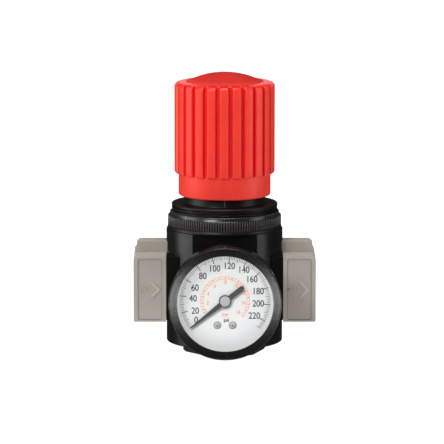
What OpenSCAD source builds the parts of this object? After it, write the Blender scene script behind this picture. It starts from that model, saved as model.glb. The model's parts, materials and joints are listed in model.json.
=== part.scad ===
// Air pressure regulator: modular body, 86 mm wide, with a push-lock knob, a pressure gauge
// and screwed-on port plates. Millimetres, +Z up, gauge towards -Y, inlet towards -X.
// The origin is the centre of the flat face under the hexagonal bottom plug.

/* [Body] */
// Height of the port and gauge axes above the base
port_z = 32.6; // [32:0.1:33]
// Radius of the round upper part of the body
body_r = 27.45; // [27:0.05:27.8]
// Radius of the round lower part of the body
lower_r = 27.4; // [27:0.1:27.6]
// Half width of the square middle block
block_x = 27.5; // [27:0.1:28]
// Depth of the middle block, front to back
block_depth = 35.5; // [35:0.1:36]
// Height of the middle block
block_h = 30; // [29:0.5:31]
// Height of the body's top face
body_top = 59.2; // [59:0.1:59.4]
// Distance of the front and rear gauge faces from the centre
pad_y = 22.9; // [22.5:0.1:23.2]
// Width of the gauge faces
pad_w = 29.2; // [28:0.1:30]

/* [Port plates] */
// Thickness of each port plate
plate_t = 15.3; // [14:0.1:16]
// Depth of a port plate, front to back
plate_depth = 36; // [35.6:0.1:37]
// Height of the port plate's main part
plate_h = 31; // [30:0.1:31.4]
// Depth of the raised rib on a port plate
riser_depth = 10.6; // [8:0.2:14]
// Height of the raised rib above the plate
riser_h = 5.3; // [3:0.1:6]
// Wall radius of a port
port_r = 9.3; // [7.4:0.1:9.4]

/* [Bonnet and panel nut] */
// Radius of the panel thread's free end
thread_r = 25; // [24.9:0.05:25.1]
// Height of the bonnet's shoulder, where the neck starts
bonnet_top = 71; // [70:0.1:71.2]
// Radius of the neck under the knob
neck_r = 18.95; // [18.6:0.05:19]
// Radius of the panel nut's gripping ring
nut_ring_r = 26.75; // [26.4:0.05:27]

/* [Knob] */
// Radius over the ribs
knob_r = 23.65; // [23.4:0.05:24.5]
// Radius of the knob between and below the ribs
knob_core_r = 21.7; // [21.5:0.05:22]
// Number of ribs
rib_count = 24; // [16:2:30]
// Width of the groove between two ribs
groove_w = 1.9; // [1.2:0.1:2.6]
// Height of the knob's bottom edge, pulled up
knob_z = 74.8; // [74.7:0.1:75.2]
// Height where the ribs start
rib_z = 85.2; // [82:0.1:90]
// Height of the knob's flat top ring
knob_top = 128.6; // [128.4:0.1:129]

/* [Gauge] */
// Outer radius of the gauge's front ring
bezel_r = 26.1; // [25.9:0.05:26.4]
// Radius of the clear window
window_r = 22.2; // [21.8:0.1:22.6]
// Distance of the gauge's front from the centre
gauge_front = 60; // [59.8:0.1:60.4]
// Radius of the dial plate
dial_r = 23.9; // [23:0.1:23.9]
// Teeth on the pinion
pinion_teeth = 12; // [12]
// Gear ratio from sector to pinion
gauge_ratio = 9; // [9]

/* [Hidden] */

$fn = 64;
eps = 0.01;
// Colours of the materials
red = [0.90, 0.22, 0.17];
dark_red = [0.82, 0.18, 0.15];
black = [0.09, 0.09, 0.10];
die_cast = [0.63, 0.60, 0.57];
steel = [0.70, 0.71, 0.73];
brass = [0.78, 0.62, 0.34];
rubber = [0.13, 0.13, 0.14];
white = [0.90, 0.92, 0.93];

// Body
block_z0 = port_z - block_h / 2;
block_z1 = port_z + block_h / 2;
hex_h = 5;              // height of the plug's hexagon, and of the body's underside
edge_r = 0.6;           // rounding of the body's round edges
recess_r = 21.8;        // recess that takes the diaphragm and the bonnet
recess_z = 57;          // its floor
chamber_r = 18.8;       // free radius of the diaphragm
chamber_z = 49;         // floor of the diaphragm chamber
valve_room_r = 13;      // room around the poppet
plug_r = 13.4;          // plug thread, drawn plain
plug_top = 17;
web_z = 30;             // underside of the web that holds the valve seat
web_top = 33.5;
outlet_room_r = 9.5;
outlet_room_top = 45;
gauge_port_r = 5.7;     // gauge port wall, drawn plain
gauge_port_end = 14.2;
// Valve
stem_r = 1.5;
stem_top = 54.6;
poppet_z = 25;
poppet_top = 29.15;
// Diaphragm stack
diaphragm_t = 1.2;
plate_z = 55.6;
spring_foot = 59.8;
// Bonnet
flange_r = 26.85;
flange_top = 60.6;
thread_pitch_r = 24.5;  // the panel thread under the nut, drawn at its pitch radius
spring_room_r = 16;
nut_z0 = 60.7;          // panel nut: foot, top of the gripping ring, top of the shoulder
nut_z1 = 65.3;
nut_z2 = 67.2;
nut_shoulder_r = 25.8;
bonnet_end = 108.8;
lock_teeth = 12;
lock_in_r = 12.5;
lock_out_r = 17;
// Adjusting screw and nut
screw_r = 5;
journal_r = 5.4;
nut_z = 94;
nut_h = 7;
run = 0.05;             // radial clearance of a running fit
// Knob
skirt_r = neck_r + 0.4;
web_low = 113.3;
web_high = 117;
rim_r = 1.9;            // rounding of the knob's top edge
rim_drop = 0.4;         // fall of the top ring from the cap to that rounding
cap_r = 18;
cap_apex = 132.75;
cap_slope = 21;         // slope of the cap's flank
cap_ball = (cap_r * tan(cap_slope) - cap_apex + knob_top)
    / (sin(cap_slope) * tan(cap_slope) + cos(cap_slope) - 1);
// Plates
plate_x1 = block_x + plate_t;
plate_z0 = port_z - plate_h / 2 - 0.35;
plate_z1 = plate_z0 + plate_h;
plate_top_r = 1.8;      // rounding of the outer top edge
plate_low_r = 0.7;      // rounding of the outer bottom edge
riser_x1 = plate_x1 - 0.8;
riser_draft = 0.7;      // lean of the rib's end over its height
riser_taper = 1.9;      // how much the rib is shorter at the back
field = [11.4, 29];     // recessed nameplate field, width and height
field_r = 1;
screw_y = 13;
screw_dz = 10.4;
// Gauge, measured forwards from the centre line along -Y
case_back = 41.2;
case_floor = 42.2;
case_r = 25.4;
case_inner_r = 24.2;
case_front = 57.1;
dial_face = 50;
dial_back = 49.4;
pinion_r = 1.2;
sector_r = pinion_r * gauge_ratio;
pivot_angle = -35;
pivot = (pinion_r + sector_r) * [cos(pivot_angle), sin(pivot_angle)];
tail_angle = 60;
tail_len = 4.5;
tail = pivot + tail_len * [cos(tail_angle), sin(tail_angle)];
tube_r = 17.5;
tube_t = 1.6;
tube_w = 4.6;
tube_tip = 25;
tip = 15 * [cos(tube_tip), sin(tube_tip)];
zero_angle = 218.2;     // pointer at zero, anticlockwise from +X
column_at = [[-5, 2.5], [11.5, -9.5]];
spiral_turns = 4;       // hairspring

// Points of an arc from angle a0 to a1
function arc(c, r, a0, a1, n = 6) =
    [for (i = [0:n]) let (a = a0 + (a1 - a0) * i / n) c + r * [cos(a), sin(a)]];

// Outline of a gear with straight-sided teeth; centred on a tooth at angle 0
function gear_points(n, root, tip, root_w, tip_w, from, to) =
    [for (i = [from:to], k = [0:3])
        let (r = k == 0 || k == 3 ? root : tip, w = k == 0 || k == 3 ? root_w : tip_w,
            a = i * 360 / n + (k < 2 ? -1 : 1) * w / r * 90 / PI)
        r * [cos(a), sin(a)]];

// Solid of revolution from points [radius, z]
module turned(points) rotate_extrude() polygon(points);

// Plain ring
module ring(outer, inner, z0, z1) translate([0, 0, z0]) difference() {
    cylinder(r = outer, h = z1 - z0);
    translate([0, 0, -1]) cylinder(r = inner, h = z1 - z0 + 2);
}

// O-ring about Z
module o_ring(r, cord_r, z) translate([0, 0, z]) rotate_extrude() translate([r, 0]) circle(cord_r);

// Places its children on the gauge axis, +Z forwards
module on_gauge() translate([0, 0, port_z]) rotate([90, 0, 0]) children();

// Places its children on the port axis of one side, +Z outwards
module on_side(side) translate([0, 0, port_z]) rotate([0, 90 * side, 0]) children();

// Helical wire spring about Z from z0 to z1
module coil(r, wire_r, z0, z1, turns, steps = 20, sides = 8) {
    count = turns * steps;
    points = [for (i = [0:count], k = [0:sides - 1])
        let (a = 360 * i / steps, b = 360 * k / sides, rr = r + wire_r * cos(b))
        [rr * cos(a), rr * sin(a),
            z0 + wire_r + (z1 - z0 - 2 * wire_r) * i / count + wire_r * sin(b)]];
    walls = [for (i = [0:count - 1], k = [0:sides - 1]) let (n = (k + 1) % sides)
        [i * sides + k, i * sides + n, (i + 1) * sides + n, (i + 1) * sides + k]];
    split = [for (f = walls) each [[f[2], f[1], f[0]], [f[3], f[2], f[0]]]];
    polyhedron(points,
        concat(split, [[for (k = [0:sides - 1]) k]], [[for (k = [sides - 1:-1:0]) count * sides + k]]));
}

// ---- Body and valve ----

// One gauge face of the body, towards +Y
module gauge_pad() translate([-pad_w / 2, 12, block_z0 + 3]) cube([pad_w, pad_y - 12, body_top - block_z0 - 3]);

module body_outside() {
    turned([[0, hex_h], [lower_r - edge_r, hex_h],
        each arc([lower_r - edge_r, hex_h + edge_r], edge_r, -90, 0), [lower_r, block_z0 + 5], [0, block_z0 + 5]]);
    translate([-block_x, -block_depth / 2, block_z0]) cube([2 * block_x, block_depth, block_h]);
    intersection() {
        turned([[0, block_z1 - 5], [body_r, block_z1 - 5],
            each arc([body_r - edge_r, body_top - edge_r], edge_r, 0, 90), [0, body_top]]);
        translate([-30, -pad_y, block_z1 - 6]) cube([60, 2 * pad_y, 40]);
    }
    gauge_pad();
    mirror([0, 1, 0]) gauge_pad();
}

module body() color(black) difference() {
    body_outside();
    // plug thread, valve room, seat hole, outlet room, diaphragm room
    translate([0, 0, hex_h - 1]) cylinder(r = plug_r, h = plug_top - hex_h + 1 + eps);
    translate([0, 0, plug_top]) cylinder(r = valve_room_r, h = web_z - plug_top);
    translate([0, 0, web_z - 1]) cylinder(r = 7, h = 6);
    translate([0, 0, web_top]) cylinder(r = outlet_room_r, h = outlet_room_top - web_top);
    translate([0, 0, outlet_room_top - 1]) cylinder(r = 4, h = 6);
    translate([0, 0, chamber_z]) cylinder(r = chamber_r, h = 12);
    translate([0, 0, recess_z]) cylinder(r = recess_r, h = 6);
    // sensing hole from the outlet room to the diaphragm
    translate([6.5, 0, outlet_room_top - 1]) cylinder(r = 1, h = 6);
    // inlet below the seat, outlet above it
    on_side(-1) translate([0, 0, 10.5]) cylinder(r = 8, h = 18);
    translate([-20, -6, 20]) cube([12, 12, web_z - 20]);
    on_side(1) translate([0, 0, 14]) cylinder(r = 8, h = 15);
    translate([8, -6, 35]) cube([12, 12, outlet_room_top - 35]);
    // gauge ports, front and rear
    for (turn = [0, 180]) rotate([0, 0, turn]) on_gauge() {
        translate([0, 0, gauge_port_end]) cylinder(r = gauge_port_r, h = 10);
        translate([0, 3.4, 8]) cylinder(r = 1.5, h = 8);
    }
    // threaded holes for the plate screws
    for (side = [-1, 1], y = [-1, 1], z = [-1, 1])
        translate([0, y * screw_y, port_z + z * screw_dz]) rotate([0, 90 * side, 0])
            translate([0, 0, block_x - 9]) cylinder(r = 2, h = 10);
}

module stem_guide() color(brass) ring(4, stem_r + run, 43.5, chamber_z);

module stem_seal() color(rubber) o_ring(2.85, 0.8, chamber_z + 0.8);

module valve_seat() color(brass) turned([[5.2, web_z - 0.8], [6.2, web_z - 0.8], [6.6, web_z], [7, web_z],
    [7, web_top + 0.4], [5.2, web_top + 0.4]]);

module bottom_plug() color(black) difference() {
    union() {
        rotate([0, 0, 10]) intersection() {
            cylinder(r = 19.9, h = hex_h, $fn = 6);
            turned([[0, 0], [18.9, 0], [19.9, 0.8], [19.9, hex_h], [0, hex_h]]);
        }
        turned([[0, hex_h - 1], [plug_r, hex_h - 1], [plug_r, 6.4], [plug_r - 1.6, 6.4], [plug_r - 1.6, 8.2],
            [plug_r, 8.2], [plug_r, plug_top - 0.5], [plug_r - 0.5, plug_top], [0, plug_top]]);
    }
    difference() {
        translate([0, 0, 4]) cylinder(r = 7.2, h = 20);
        translate([0, 0, 3]) cylinder(r = 4.5, h = 11);
    }
    translate([0, 0, 4]) cylinder(r = 3.56, h = 20);
}

module plug_seal() color(rubber) o_ring(plug_r - 0.8, 0.8, 7.3);

module valve_spring() color(steel) coil(5.7, 0.5, 4.05, poppet_z - 0.02, 9, 16, 6);

module valve_poppet() color(brass) turned([[0, 8], [3, 8], [3.5, 8.5], [3.5, poppet_z], [8.5, poppet_z],
    [8.5, poppet_z + 2.6], [7.6, poppet_z + 2.6], [7.6, poppet_z + 1.4], [stem_r + 0.1, poppet_z + 1.4],
    [stem_r + 0.1, 20], [0, 20]]);

module poppet_seal() color(rubber) ring(7.6, stem_r + 0.1, poppet_z + 1.4, poppet_top);

module valve_stem() color(steel) turned([[0, 20], [stem_r, 20], [stem_r, stem_top - 1.2],
    [0.9, stem_top - 0.1], [0, stem_top - 0.1]]);

// ---- Diaphragm ----

module diaphragm() color(rubber) turned([[3.2, recess_z], [14.8, recess_z], [15.2, recess_z - 0.9],
    each arc([16.7, recess_z - 0.9], 1.5, 190, 350, 8), [18.4, recess_z], [recess_r, recess_z],
    [recess_r, recess_z + diaphragm_t], [17.9, recess_z + diaphragm_t],
    each arc([16.7, recess_z - 0.3], 0.8, 340, 200, 6), [15.4, recess_z + diaphragm_t],
    [3.2, recess_z + diaphragm_t]]);

module lower_diaphragm_plate() color(steel) turned([[3, plate_z], [13.4, plate_z], [14.2, plate_z + 0.6],
    [14.2, recess_z], [3, recess_z]]);

module upper_diaphragm_plate() color(steel) turned([[3, recess_z + diaphragm_t], [14.2, recess_z + diaphragm_t],
    [14.8, recess_z + diaphragm_t + 0.5], [14.8, spring_foot], [9.8, spring_foot], [9.4, 62.4], [5, 62.4],
    [5, 60.6], [3, 60.6]]);

module relief_seat() color(brass) turned([[0.9, stem_top], [4.6, stem_top], [4.6, plate_z], [3, plate_z],
    [3, 60.6], [4.4, 60.6], [4.4, 61.4], [0.9, 61.4]]);

// ---- Bonnet and panel nut ----

module bonnet() color(black) {
    difference() {
        turned([[0, recess_z + diaphragm_t], [recess_r, recess_z + diaphragm_t], [recess_r, body_top],
            [flange_r, body_top],
            [flange_r, flange_top], [thread_pitch_r, flange_top], [thread_pitch_r, nut_z2 + 0.15],
            [thread_r, nut_z2 + 0.15], [thread_r, bonnet_top - 0.5], [thread_r - 0.5, bonnet_top],
            [neck_r, bonnet_top],
            [neck_r, bonnet_end - 0.6], [neck_r - 0.6, bonnet_end], [0, bonnet_end]]);
        translate([0, 0, recess_z]) cylinder(r = chamber_r, h = flange_top - recess_z);
        translate([0, 0, recess_z]) cylinder(r = spring_room_r, h = 104.8 - recess_z);
        translate([0, 0, 100]) cylinder(r = journal_r + run, h = 10);
        for (turn = [0, 180]) rotate([0, 0, turn]) intersection() {
            translate([10, -3.3, 58]) cube([10, 6.6, 42]);
            cylinder(r = 17.3, h = 120);
        }
        // groove for the detent ring, and the vent that lets relieved air out
        ring(neck_r + 1, neck_r - 0.75, 83.4, 84.9);
        rotate([-90, 0, 0]) translate([0, -73, 12]) cylinder(r = 0.9, h = 12);
    }
    for (i = [0:lock_teeth - 1]) rotate([0, 0, (i + 0.5) * 360 / lock_teeth - 5])
        rotate_extrude(angle = 10) translate([lock_in_r, bonnet_end - 1])
            square([lock_out_r - lock_in_r, 2.4]);
}

module panel_nut() color(black) difference() {
    turned([[20, nut_z0], [nut_ring_r - 0.15, nut_z0], [nut_ring_r, nut_z0 + 0.15], [nut_ring_r, nut_z1 - 0.15],
        [nut_ring_r - 0.15, nut_z1], [nut_shoulder_r, nut_z1], [nut_shoulder_r, nut_z2 - 0.2],
        [nut_shoulder_r - 0.2, nut_z2], [20, nut_z2]]);
    translate([0, 0, nut_z0 - 1]) cylinder(r = thread_pitch_r + run, h = nut_z2 - nut_z0 + 2);
}

module detent_ring() color(steel) rotate_extrude() translate([neck_r - 0.2, 84.15]) circle(0.5);

// ---- Setting mechanism ----

module range_spring() color(steel) coil(12, 1.4, spring_foot + 0.02, nut_z - 0.02, 7, 24, 8);

module spring_nut() color(steel) difference() {
    union() {
        translate([0, 0, nut_z]) cylinder(r = 14.8, h = 2.6);
        translate([0, 0, nut_z]) cylinder(r = 9, h = nut_h);
        intersection() {
            translate([-20, -3, nut_z]) cube([40, 6, 2.6]);
            translate([0, 0, nut_z]) cylinder(r = 16.9, h = 3);
        }
    }
    translate([0, 0, nut_z - 1]) cylinder(r = screw_r + run, h = nut_h + 2);
}

module adjusting_screw() color(steel) {
    difference() {
        turned([[0, 82], [4, 82], [screw_r, 83], [screw_r, 101.8], [9, 101.8], [9, 103.8], [journal_r, 103.8],
            [journal_r, 110.3], [0, 110.3]]);
        ring(6, 4.8, 108.95, 109.85);
    }
    translate([0, 0, 110]) cylinder(r = journal_r, h = 11, $fn = 6);
}

module thrust_washer() color(brass) ring(9.5, journal_r + run, 103.8, 104.75);

module retaining_ring() color(steel) difference() {
    ring(7.4, 4.8, 109, 109.8);
    translate([0, -1.6, 108]) cube([10, 3.2, 3]);
}

// ---- Knob ----

module knob_outside() difference() {
    turned([[0, knob_z], [knob_core_r - 0.8, knob_z], each arc([knob_core_r - 0.8, knob_z + 0.8], 0.8, -90, 0, 4),
        [knob_core_r, rib_z], [knob_r - 0.3, rib_z + 0.7], [knob_r, rib_z + 1.2],
        each arc([knob_r - rim_r, knob_top - rim_drop - rim_r], rim_r, 0, 90), [cap_r + 0.7, knob_top],
        [0, knob_top]]);
    for (i = [0:rib_count - 1]) rotate([0, 0, -91 + (i + 0.5) * 360 / rib_count])
        translate([knob_core_r, -groove_w / 2, rib_z - 0.2]) cube([5, groove_w, 60]);
}

module knob() color(red) {
    difference() {
        knob_outside();
        translate([0, 0, knob_z - 1]) cylinder(r = skirt_r, h = web_low - knob_z + 1);
        difference() {
            translate([0, 0, web_high]) cylinder(r = 17, h = 12);
            translate([0, 0, web_high - 1]) cylinder(r = 9, h = 6);
        }
        translate([0, 0, 125]) cylinder(r = cap_r + 0.02, h = 5);
        translate([0, 0, 110]) cylinder(r = journal_r + 0.25, h = 20, $fn = 6);
    }
    for (i = [0:lock_teeth - 1]) rotate([0, 0, i * 360 / lock_teeth - 5])
        rotate_extrude(angle = 10) translate([lock_in_r, web_low - 1.5])
            square([lock_out_r - lock_in_r, 2]);
}

module knob_cap() color(dark_red) difference() {
    turned([[0, 125], [cap_r, 125], [cap_r, knob_top],
        each arc([0, cap_apex - cap_ball], cap_ball, 90 - cap_slope, 90, 10)]);
    translate([0, 0, 124]) cylinder(r = 14, h = 3.2);
}

// ---- Port plates ----

// Raised rib on a port plate; it leans inwards, is shorter at the back and reaches the body's drum
module plate_riser() difference() {
    intersection() {
        rotate([90, 0, 0]) linear_extrude(riser_depth, center = true) polygon([[block_x, port_z],
            [riser_x1, port_z], [riser_x1, plate_z1], [riser_x1 - riser_draft, plate_z1 + riser_h],
            [block_x - 1.5, plate_z1 + riser_h], [block_x - 1.5, plate_z1], [block_x, plate_z1]]);
        linear_extrude(2 * port_z) polygon([[block_x - 2, -riser_depth / 2], [riser_x1, -riser_depth / 2],
            [riser_x1 - riser_taper, riser_depth / 2], [block_x - 2, riser_depth / 2]]);
    }
    translate([0, 0, plate_z1 - 1]) cylinder(r = body_r + run, h = riser_h + 2);
}

// Port plate towards +X
module port_plate() difference() {
    union() {
        rotate([90, 0, 0]) linear_extrude(plate_depth, center = true) polygon([[block_x, plate_z0],
            each arc([plate_x1 - plate_low_r, plate_z0 + plate_low_r], plate_low_r, -90, 0, 4),
            each arc([plate_x1 - plate_top_r, plate_z1 - plate_top_r], plate_top_r, 0, 90), [block_x, plate_z1]]);
        plate_riser();
    }
    on_side(1) {
        translate([0, 0, block_x - 1]) cylinder(r = port_r, h = plate_t + 2);
        ring(12, 10.2, block_x - 1, block_x + 1.8);
        translate([0, 0, plate_x1 - 0.8]) cylinder(r1 = port_r, r2 = port_r + 1.6, h = 1.61);
    }
    for (y = [-1, 1], z = [-1, 1]) translate([0, y * screw_y, port_z + z * screw_dz]) rotate([0, 90, 0]) {
        translate([0, 0, block_x - 1]) cylinder(r = 2.2, h = plate_t + 2);
        translate([0, 0, plate_x1 - 4.6]) cylinder(r = 3.75, h = 6);
    }
    // recessed nameplate fields, front and rear
    for (turn = [0, 1]) mirror([0, turn, 0])
        translate([block_x + 1.9, -plate_depth / 2 + 0.4, port_z - 15]) rotate([90, 0, 0]) linear_extrude(2)
            polygon([each arc([field_r, field_r], field_r, 180, 270, 4),
                each arc([field.x - field_r, field_r], field_r, 270, 360, 4),
                each arc([field.x - field_r, field.y - field_r], field_r, 0, 90, 4),
                each arc([field_r, field.y - field_r], field_r, 90, 180, 4)]);
}

module outlet_plate() color(die_cast) port_plate();
module inlet_plate() color(die_cast) mirror([1, 0, 0]) port_plate();

module port_seal() on_side(1) o_ring(11.1, 0.87, block_x + 0.9);
module outlet_seal() color(rubber) port_seal();
module inlet_seal() color(rubber) mirror([1, 0, 0]) port_seal();

// Four socket-head screws that hold a port plate
module plate_screws() for (y = [-1, 1], z = [-1, 1])
    translate([0, y * screw_y, port_z + z * screw_dz]) rotate([0, 90, 0]) difference() {
        turned([[0, block_x - 8], [1.6, block_x - 8], [2, block_x - 7.6], [2, plate_x1 - 4.6],
            [3.5, plate_x1 - 4.6], [3.5, plate_x1 - 1], [3.2, plate_x1 - 0.7], [0, plate_x1 - 0.7]]);
        translate([0, 0, plate_x1 - 2.9]) cylinder(r = 1.73, h = 4, $fn = 6);
    }
module outlet_screws() color(steel) plate_screws();
module inlet_screws() color(steel) mirror([1, 0, 0]) plate_screws();

module rear_port_plug() color(steel) rotate([0, 0, 180]) on_gauge() difference() {
    turned([[0, 14.8], [5.2, 14.8], [gauge_port_r, 15.3], [gauge_port_r, pad_y], [gauge_port_r, pad_y + 1],
        [8.6, pad_y + 1], [8.9, pad_y + 1.3], [8.9, pad_y + 3.6], [8, 27.3], [0, 27.3]]);
    translate([0, 0, 22]) cylinder(r = 3.5, h = 8, $fn = 6);
}

module rear_port_seal() color(rubber) rotate([0, 0, 180]) on_gauge() ring(8.4, gauge_port_r, pad_y, pad_y + 1);

// ---- Gauge ----

module gauge_seal() color(rubber) on_gauge() ring(8.4, gauge_port_r, pad_y, pad_y + 1.4);

// Outline of the bourdon tube's bend
module tube_solid() translate([0, 0, 46.6]) rotate([0, 0, tube_tip]) rotate_extrude(angle = 360 - 100 - tube_tip)
    translate([tube_r, 0]) tube_profile();
module tube_profile() {
    square([tube_t, tube_w - tube_t], center = true);
    for (s = [-1, 1]) translate([0, s * (tube_w - tube_t) / 2]) circle(tube_t / 2);
}

module gauge_stem() color(brass) on_gauge() difference() {
    union() {
        turned([[0, 14.5], [5.2, 14.5], [gauge_port_r, 15], [gauge_port_r, pad_y + 1.4], [0, pad_y + 1.4]]);
        translate([0, 0, pad_y + 1.4]) turned([[0, 0], [8, 0], [8.8, 0.8], [8.8, 13], [8, 13.8], [0, 13.8]]);
        translate([0, 0, 36]) cylinder(r = 5.2, h = 8);
        translate([-4, -19.8, case_floor]) cube([8, 19.8, 1.8]);
        translate([-4.5, -19.8, case_floor]) cube([9, 9.5, dial_back - case_floor]);
    }
    for (turn = [0:90:270]) rotate([0, 0, turn]) translate([7, -15, 26]) cube([10, 30, 10.2]);
    translate([0, 0, 14]) cylinder(r = 2, h = 5);
    translate([0, 0, 14]) cylinder(r = 1.2, h = 28.8);
    translate([0, 0, 43.1]) rotate([90, 0, 0]) cylinder(r = 0.5, h = 14);
    tube_solid();
    for (s = [-1, 1]) translate([s * 3.55, -11.5, 46]) cylinder(r = 0.72, h = 5);
}

module restrictor() color(brass) on_gauge() difference() {
    translate([0, 0, 15]) cylinder(r = 2, h = 3.8);
    translate([0, 0, 14]) cylinder(r = 0.4, h = 6);
    translate([-0.4, -3, 14]) cube([0.8, 6, 1.8]);
}

module gauge_case() color(black) on_gauge() turned([[5.25, case_back], [22.5, case_back],
    each arc([case_r - 2.4, case_back + 2.4], 2.4, -90, 0), [case_r, case_front], [case_inner_r, case_front],
    each arc([case_inner_r - 1.6, case_floor + 1.6], 1.6, 0, -90), [5.25, case_floor]]);

module lens_gasket() color(rubber) on_gauge() ring(25.3, 23.6, case_front, case_front + 0.4);

module gauge_lens() color([0.85, 0.92, 0.95, 0.3]) on_gauge() translate([0, 0, case_front + 0.4])
    cylinder(r = 25.2, h = 1.2);

module gauge_bezel() color(black) on_gauge() turned([[case_r + 0.02, 53], [bezel_r - 0.3, 53],
    [bezel_r, 53.3], [bezel_r, gauge_front - 0.4], [bezel_r - 0.2, gauge_front], [bezel_r - 0.5, gauge_front],
    [window_r, gauge_front - 0.5], [window_r, case_front + 1.6], [case_r + 0.02, case_front + 1.6]]);

module dial() color(white) on_gauge() difference() {
    translate([0, 0, dial_back]) cylinder(r = dial_r, h = dial_face - dial_back);
    translate([0, 0, 48]) cylinder(r = 1.5, h = 4);
    for (s = [-1, 1]) translate([s * 3.55, -11.5, 48]) cylinder(r = 0.9, h = 4);
}

module dial_screws() color(steel) on_gauge() for (s = [-1, 1]) translate([s * 3.55, -11.5, 0]) difference() {
    turned([[0, 46.2], [0.7, 46.2], [0.7, dial_face], [1.6, dial_face], [1.6, 50.3], [1, 50.75], [0, 50.85]]);
    translate([-2, -0.2, 50.45]) cube([4, 0.4, 1]);
}

module bourdon_tube() color(brass) on_gauge() tube_solid();

module tube_end() color(brass) on_gauge() rotate([0, 0, tube_tip]) difference() {
    translate([14.2, -0.1, 44]) cube([5, 3.4, 2.4]);
    rotate([0, 0, -tube_tip]) tube_solid();
}

// Bar with round ends between two points
module strap(a, b, r, z, t) translate([0, 0, z]) {
    d = b - a;
    for (p = [a, b]) translate(p) cylinder(r = r, h = t);
    translate(a) rotate([0, 0, atan2(d.y, d.x)]) translate([0, -r, 0]) cube([norm(d), 2 * r, t]);
}

// Plate of the gauge movement, with holes for both arbors
module movement_plate(z) difference() {
    union() {
        strap([0, 0], pivot, 2.2, z, 0.8);
        strap([0, 0], column_at[0], 2, z, 0.8);
        strap(pivot, column_at[1], 2, z, 0.8);
    }
    translate([0, 0, z - 1]) cylinder(r = 0.55, h = 3);
    translate([pivot.x, pivot.y, z - 1]) cylinder(r = 0.65, h = 3);
    for (p = column_at) translate([p.x, p.y, z - 1]) cylinder(r = 0.5, h = 3);
}

module movement_rear_plate() color(brass) on_gauge() movement_plate(44);
module movement_front_plate() color(brass) on_gauge() movement_plate(48);

module movement_columns() color(brass) on_gauge() for (p = column_at) translate(p)
    turned([[0, 44], [0.5, 44], [0.5, 44.8], [1, 44.8], [1, 48], [0.5, 48], [0.5, 48.8], [1, 48.8],
        [0.8, 49.2], [0, 49.2]]);

module sector_gear() color(brass) on_gauge() translate(pivot) difference() {
    union() {
        translate([0, 0, 44.1]) cylinder(r = 0.6, h = 4.6);
        translate([0, 0, 45]) cylinder(r = 1.4, h = 2.4);
        translate([0, 0, 45.8]) linear_extrude(0.8) union() {
            rotate(180 + pivot_angle) polygon([[0, 0],
                each gear_points(pinion_teeth * gauge_ratio, sector_r - 0.22, sector_r + 0.12, 0.34, 0.12, -10, 1)]);
            rotate(tail_angle) translate([0, -0.8]) square([tail_len, 1.6]);
            rotate(tail_angle) translate([tail_len, 0]) circle(1);
        }
        rotate([0, 0, tail_angle]) translate([tail_len, 0, 46]) cylinder(r = 0.4, h = 1.6);
    }
    rotate([0, 0, 180 + pivot_angle - 15]) rotate([0, 0, -9]) translate([0, 0, 45])
        rotate_extrude(angle = 20) translate([3.4, 0]) square([4.4, 2]);
}

module link() color(steel) on_gauge() difference() {
    strap(tail, tip, 0.8, 46.9, 0.5);
    translate([tail.x, tail.y, 46]) cylinder(r = 0.45, h = 3);
    translate([tip.x, tip.y, 46]) cylinder(r = 0.45, h = 3);
}

module pinion_arbor() color(steel) on_gauge() {
    translate([0, 0, 44.1]) cylinder(r = 0.5, h = 7.6);
    translate([0, 0, 45.3]) linear_extrude(1.8) rotate(pivot_angle + 180 / pinion_teeth)
        polygon(gear_points(pinion_teeth, pinion_r - 0.2, pinion_r + 0.13, 0.34, 0.12, 0, pinion_teeth - 1));
}

// Flat spiral that takes up the backlash
module hairspring() color(steel) on_gauge() translate([0, 0, 47.4]) linear_extrude(0.3) {
    inner = [for (i = [0:spiral_turns * 20]) (0.9 + 3.6 * i / (spiral_turns * 20)) * [cos(18 * i), sin(18 * i)]];
    outer = [for (i = [spiral_turns * 20:-1:0]) (1.02 + 3.6 * i / (spiral_turns * 20)) * [cos(18 * i), sin(18 * i)]];
    polygon(concat(inner, outer));
}

module pointer() color([0.22, 0.22, 0.23]) on_gauge() rotate([0, 0, zero_angle]) difference() {
    translate([0, 0, 51.2]) linear_extrude(0.45) union() {
        circle(2.95);
        polygon([[0, 1.3], [0, -1.3], [19.9, -0.3], [20.2, -0.18], [20.2, 0.18], [19.9, 0.3]]);
        polygon([[0, 1.15], [-9.9, 1.15], [-10.9, 0.45], [-10.9, -0.45], [-9.9, -1.15], [0, -1.15]]);
    }
    translate([0, 0, 50]) cylinder(r = 0.5, h = 3);
}

module pointer_hub() color(steel) on_gauge() difference() {
    turned([[0, 51.65], [2.45, 51.65], [2.45, 52.1], [2.1, 52.4], [0, 52.4]]);
    translate([0, 0, 51]) cylinder(r = 0.5, h = 0.75);
}

body();
stem_guide();
stem_seal();
valve_seat();
bottom_plug();
plug_seal();
valve_spring();
valve_poppet();
poppet_seal();
valve_stem();
diaphragm();
lower_diaphragm_plate();
upper_diaphragm_plate();
relief_seat();
bonnet();
panel_nut();
range_spring();
spring_nut();
adjusting_screw();
thrust_washer();
retaining_ring();
detent_ring();
knob();
knob_cap();
inlet_plate();
outlet_plate();
inlet_seal();
outlet_seal();
inlet_screws();
outlet_screws();
rear_port_plug();
rear_port_seal();
gauge_seal();
gauge_stem();
restrictor();
gauge_case();
lens_gasket();
gauge_lens();
gauge_bezel();
dial();
dial_screws();
bourdon_tube();
tube_end();
movement_rear_plate();
movement_front_plate();
movement_columns();
sector_gear();
link();
pinion_arbor();
hairspring();
pointer();
pointer_hub();
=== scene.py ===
"""Looks of an air pressure regulator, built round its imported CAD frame. Metres, +Z up, gauge towards -Y."""
import json
import math

import bmesh
import bpy
from mathutils import Matrix, Vector

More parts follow.
